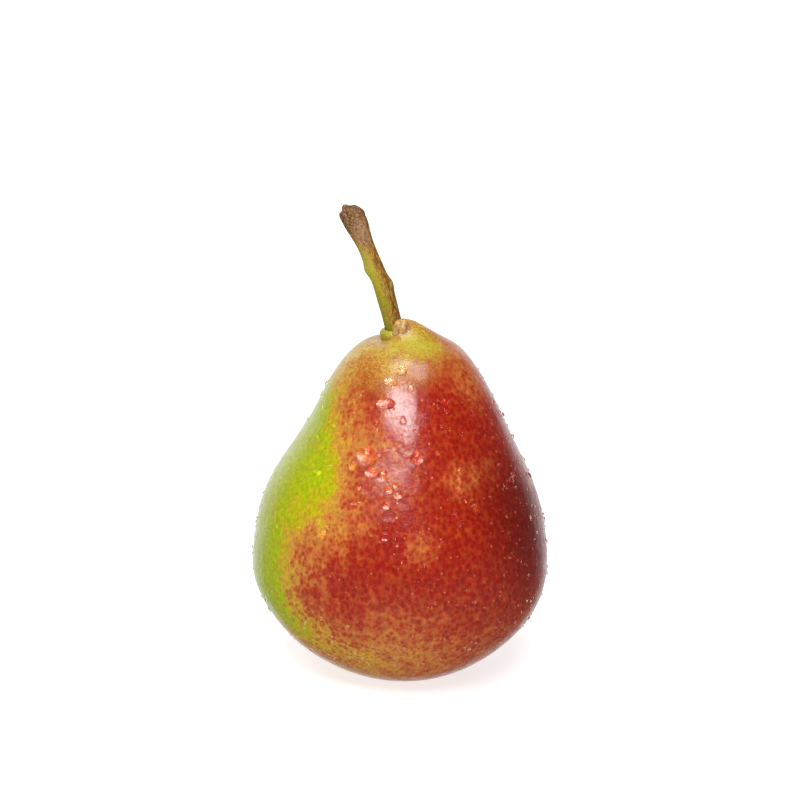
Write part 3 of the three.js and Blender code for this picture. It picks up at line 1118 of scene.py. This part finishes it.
print("water finish has", len(w.tree.nodes), "nodes")

# %% [markdown]
# ## Floor and light
#
# The floor is pale and plain. It glows a little, more so further out, which makes it white at any
# angle, and it is left out of reflections, because a floor this near would haze the belly. Two
# softboxes light the glossy pear: one in front and above draws the highlight down the neck, and a
# weaker one almost overhead draws a streak on the crown. A white wall behind gives both edges a
# pale rim by its glancing reflection. The room in front stays dim, so nothing washes out the red.

# %% Floor
FLOOR_SIZE = 4.0
GLOW_START = 100
GLOW_FULL = 450
GLOW_NEAR = 0.76

floor_bm = bmesh.new()
bmesh.ops.create_grid(floor_bm, x_segments=2, y_segments=2, size=FLOOR_SIZE / 2 / MM)
floor = finish_piece(floor_bm, "floor")
pale = Finish("pale floor")
pale_tone = pale.ramp(pale.noise(pale.place, 60), [
    (0, (0.48, 0.47, 0.46, 1)),
    (1, (0.5, 0.49, 0.48, 1)),
])
pale_glow = pale.step(pale.distance((0, 0, 0)), GLOW_START, GLOW_FULL, GLOW_NEAR, 1.0)
pale.surface(Base_Color=pale_tone, Roughness=0.7, Emission_Color=(1, 1, 1, 1), Emission_Strength=pale_glow)
pale.paint(floor)
floor.visible_glossy = False

# %% Room
ROOM_DIM = 0.08
ROOM_WHITE = 1.05
WALL_FACING = (-0.09, 0.99, 0.06)
WALL_EDGE = 0.54
WALL_FULL = 0.93

world = bpy.data.worlds.new("studio")
bpy.context.scene.world = world
world.use_nodes = True
room = world.node_tree
room.nodes.clear()
direction = room.nodes.new("ShaderNodeTexCoord")
behind = room.nodes.new("ShaderNodeVectorMath")
behind.operation = "DOT_PRODUCT"
behind.inputs[1].default_value = WALL_FACING
wall = room.nodes.new("ShaderNodeMapRange")
wall.interpolation_type = "SMOOTHSTEP"
wall.inputs["From Min"].default_value = WALL_EDGE
wall.inputs["From Max"].default_value = WALL_FULL
wall.inputs["To Min"].default_value = ROOM_DIM
wall.inputs["To Max"].default_value = ROOM_WHITE
glow = room.nodes.new("ShaderNodeBackground")
seen = room.nodes.new("ShaderNodeBackground")
eye = room.nodes.new("ShaderNodeLightPath")
choice = room.nodes.new("ShaderNodeMixShader")
room_output = room.nodes.new("ShaderNodeOutputWorld")
glow.inputs["Color"].default_value = (1, 1, 1, 1)
seen.inputs["Color"].default_value = (1, 1, 1, 1)
for start, end in (
    (direction.outputs["Generated"], behind.inputs[0]),
    (behind.outputs["Value"], wall.inputs["Value"]),
    (wall.outputs[0], glow.inputs["Strength"]),
    (eye.outputs["Is Camera Ray"], choice.inputs[0]),
    (glow.outputs[0], choice.inputs[1]),
    (seen.outputs[0], choice.inputs[2]),
    (choice.outputs[0], room_output.inputs[0]),
):
    room.links.new(start, end)
print("room has", len(room.nodes), "nodes")


# %% Softboxes
LIGHT_AIM = Vector((0, 0, 50 * MM))
LIGHT_DISTANCE = 0.7


def soft_light(name, side, height, roll, size, radiance):
    """A softbox that faces the pear: side, height and roll are its angles in degrees."""
    data = bpy.data.lights.new(name, "AREA")
    data.shape = "RECTANGLE"
    data.size, data.size_y = size
    data.energy = radiance * math.pi * data.size * data.size_y
    lamp = bpy.data.objects.new(name, data)
    across, up = math.radians(side), math.radians(height)
    ahead = Vector((math.sin(across) * math.cos(up), -math.cos(across) * math.cos(up), math.sin(up)))
    lamp.location = LIGHT_AIM + ahead * LIGHT_DISTANCE
    turned_by = Quaternion((0, 0, 1), math.radians(roll))
    lamp.rotation_euler = (ahead.to_track_quat("Z", "Y") @ turned_by).to_euler()
    bpy.context.scene.collection.objects.link(lamp)
    print(name, "of", round(data.energy, 1), "W")


soft_light("front softbox", -11, 46, -14, (0.44, 0.2), 17)
soft_light("top softbox", 14, 79, -30, (0.5, 0.32), 6.4)
